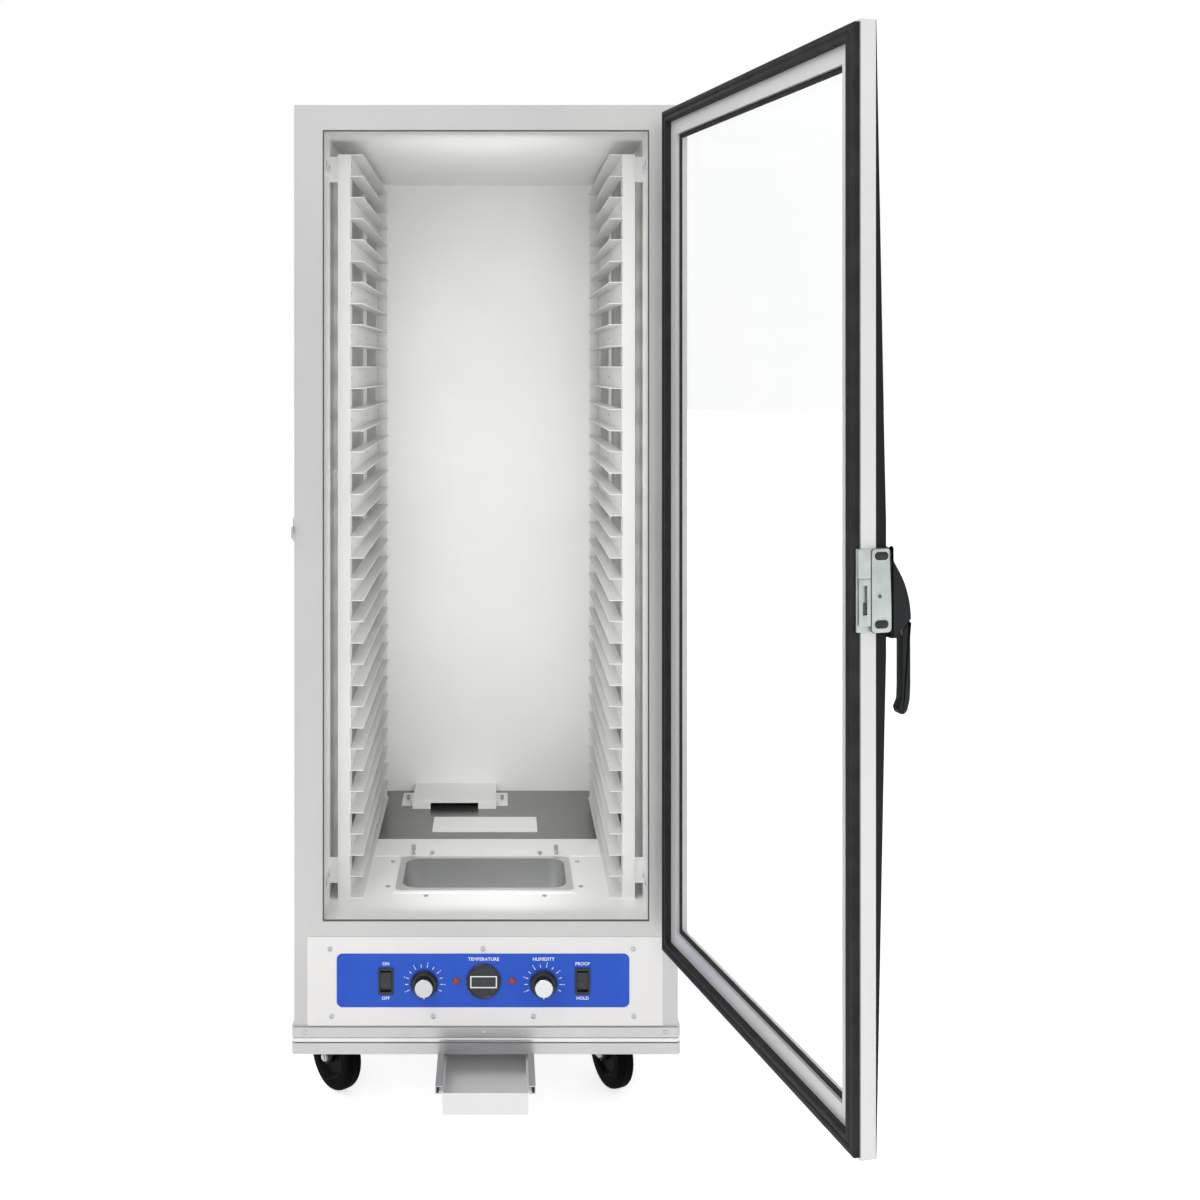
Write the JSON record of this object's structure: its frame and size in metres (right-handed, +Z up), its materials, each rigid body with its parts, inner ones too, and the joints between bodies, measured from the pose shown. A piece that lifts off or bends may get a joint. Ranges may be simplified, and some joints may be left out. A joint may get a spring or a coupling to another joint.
{
  "type": "heated holding cabinet",
  "caption": "Insulated holding cabinet on swivel casters with its glass door open, pan racks, water pan, blown-air duct and a low control panel.",
  "frame": {"origin": "centre of the flat underside of the chassis tray, the plane that the caster plates bolt to", "axes": "+Z up, -Y towards the open front, +X towards the door's hinges"},
  "size_m": [0.8732, 1.5021, 1.788],
  "materials": {
    "painted_white": "satin light grey enamel",
    "galvanised": "satin sheet steel",
    "liner": "satin aluminium sheet",
    "tray_steel": "satin stainless sheet",
    "rack_aluminium": "satin aluminium sheet",
    "door_aluminium": "satin anodised extrusion",
    "wool": "matte mineral wool",
    "stainless": "bright plated steel",
    "fork_steel": "zinc plated",
    "tyre": "matte",
    "decal": "printed film",
    "black_plastic": "satin",
    "lens": "clear coloured lens",
    "dial": "gloss",
    "bezel": "silver",
    "seal": "matte",
    "glass": "clear",
    "element": "oxidised sheath",
    "motor": "satin",
    "fan_metal": "satin"
  },
  "bodies": {
    "cabinet": {"base_frame": "galvanised", "front_frame": "painted_white", "side_panels": "painted_white", "top_panel": "painted_white", "back_panel": "galvanised", "rear_panel": "galvanised", "inner_liner": "liner", "insulation": "wool", "floor_front": "painted_white", "floor_rear": "painted_white", "pan_frame": "painted_white", "duct_cover": "painted_white", "panel_screws": "stainless", "rack_brackets": "painted_white", "control_plate": "painted_white", "control_decal": "decal", "switch_housings": "black_plastic", "thermostats": "black_plastic", "pilot_lamps": "lens", "thermometer": "dial", "display_frame": "bezel", "body_hinge_leaves": "stainless", "latch_keeper": "stainless", "tray_rails": "galvanised", "caster_plates": "galvanised", "heating_elements": "element", "blower_housing": "galvanised", "fan_motor": "motor", "power_inlet": "black_plastic"},
    "door": {"door_frame": "door_aluminium", "door_gasket": "seal", "inner_glass": "glass", "outer_glass": "glass", "glass_seal": "seal", "edge_trims": "black_plastic", "door_hinge_leaves": "stainless", "latch_case": "stainless", "handle_housing": "black_plastic"},
    "handle": {"handle_lever": "black_plastic", "latch_hook": "stainless"},
    "knob_left": {"knob_left": "black_plastic"},
    "knob_right": {"knob_right": "black_plastic"},
    "rocker_left": {"rocker_left": "black_plastic"},
    "rocker_right": {"rocker_right": "black_plastic"},
    "fan": {"fan_wheel": "fan_metal"},
    "water_pan": {"water_pan": "stainless"},
    "drip_tray": {"drip_tray": "tray_steel"},
    "rack_left": {"rack_left": "rack_aluminium"},
    "rack_right": {"rack_right": "rack_aluminium"},
    "fork_front_left": {"caster_fork_front_left": "fork_steel"},
    "wheel_front_left": {"caster_wheel_front_left": "tyre"},
    "pedal_front_left": {"brake_pedal_front_left": "black_plastic"},
    "fork_front_right": {"caster_fork_front_right": "fork_steel"},
    "wheel_front_right": {"caster_wheel_front_right": "tyre"},
    "pedal_front_right": {"brake_pedal_front_right": "black_plastic"},
    "fork_back_left": {"caster_fork_back_left": "fork_steel"},
    "wheel_back_left": {"caster_wheel_back_left": "tyre"},
    "fork_back_right": {"caster_fork_back_right": "fork_steel"},
    "wheel_back_right": {"caster_wheel_back_right": "tyre"}
  },
  "joints": [
    {"name": "door_hinge", "type": "hinge", "parent": "cabinet", "child": "door", "pos_m": [0.333, -0.442, 0.906], "axis": [0, 0, 1], "range_deg": [-104.7, 75.3]},
    {"name": "handle_pivot", "type": "hinge", "parent": "door", "child": "handle", "pos_m": [0.48808, -1.0883, 0.899], "axis": [-0.2538, 0.9673, 0], "range_deg": [-20, 0], "stiffness_Nm_per_rad": 1.5, "springref_deg": 11.46},
    {"name": "knob_left_turn", "type": "hinge", "parent": "cabinet", "child": "knob_left", "pos_m": [-0.106, -0.4003, 0.121], "axis": [0, 1, 0], "range_deg": [0, 300]},
    {"name": "knob_right_turn", "type": "hinge", "parent": "cabinet", "child": "knob_right", "pos_m": [0.099, -0.4003, 0.121], "axis": [0, 1, 0], "range_deg": [0, 300]},
    {"name": "rocker_left_tilt", "type": "hinge", "parent": "cabinet", "child": "rocker_left", "pos_m": [-0.172, -0.4003, 0.125], "axis": [1, 0, 0], "range_deg": [-16, 0]},
    {"name": "rocker_right_tilt", "type": "hinge", "parent": "cabinet", "child": "rocker_right", "pos_m": [0.166, -0.4003, 0.125], "axis": [1, 0, 0], "range_deg": [-16, 0]},
    {"name": "fan_spin", "type": "hinge", "parent": "cabinet", "child": "fan", "pos_m": [-0.073, 0.282, 0.18], "axis": [0, 0, 1], "continuous": true},
    {"name": "water_pan_lift", "type": "slide", "parent": "cabinet", "child": "water_pan", "axis": [0, 0, 1], "range_m": [0, 0.15]},
    {"name": "drip_tray_slide", "type": "slide", "parent": "cabinet", "child": "drip_tray", "axis": [0, -1, 0], "range_m": [0, 0.12]},
    {"name": "rack_left_lift", "type": "slide", "parent": "cabinet", "child": "rack_left", "axis": [0, 0, 1], "range_m": [0, 0.012]},
    {"name": "rack_right_lift", "type": "slide", "parent": "cabinet", "child": "rack_right", "axis": [0, 0, 1], "range_m": [0, 0.012]},
    {"name": "swivel_front_left", "type": "hinge", "parent": "cabinet", "child": "fork_front_left", "pos_m": [-0.25, -0.238, -0.008], "axis": [0, 0, 1], "continuous": true},
    {"name": "wheel_front_left_spin", "type": "hinge", "parent": "fork_front_left", "child": "wheel_front_left", "pos_m": [-0.27957, -0.20276, -0.0935], "axis": [-0.766, -0.6428, 0], "continuous": true},
    {"name": "brake_front_left", "type": "hinge", "parent": "fork_front_left", "child": "pedal_front_left", "pos_m": [-0.29885, -0.17978, -0.027], "axis": [-0.766, -0.6428, 0], "range_deg": [0, 18]},
    {"name": "swivel_front_right", "type": "hinge", "parent": "cabinet", "child": "fork_front_right", "pos_m": [0.25, -0.238, -0.008], "axis": [0, 0, 1], "continuous": true},
    {"name": "wheel_front_right_spin", "type": "hinge", "parent": "fork_front_right", "child": "wheel_front_right", "pos_m": [0.23203, -0.19566, -0.0935], "axis": [-0.9205, -0.3907, 0], "continuous": true},
    {"name": "brake_front_right", "type": "hinge", "parent": "fork_front_right", "child": "pedal_front_right", "pos_m": [0.2203, -0.16804, -0.027], "axis": [-0.9205, -0.3907, 0], "range_deg": [0, 18]},
    {"name": "swivel_back_left", "type": "hinge", "parent": "cabinet", "child": "fork_back_left", "pos_m": [-0.25, 0.238, -0.008], "axis": [0, 0, 1], "continuous": true},
    {"name": "wheel_back_left_spin", "type": "hinge", "parent": "fork_back_left", "child": "wheel_back_left", "pos_m": [-0.24519, 0.28375, -0.0935], "axis": [-0.9945, 0.1045, 0], "continuous": true},
    {"name": "swivel_back_right", "type": "hinge", "parent": "cabinet", "child": "fork_back_right", "pos_m": [0.25, 0.238, -0.008], "axis": [0, 0, 1], "continuous": true},
    {"name": "wheel_back_right_spin", "type": "hinge", "parent": "fork_back_right", "child": "wheel_back_right", "pos_m": [0.24439, 0.28366, -0.0935], "axis": [-0.9925, -0.1219, 0], "continuous": true}
  ]
}
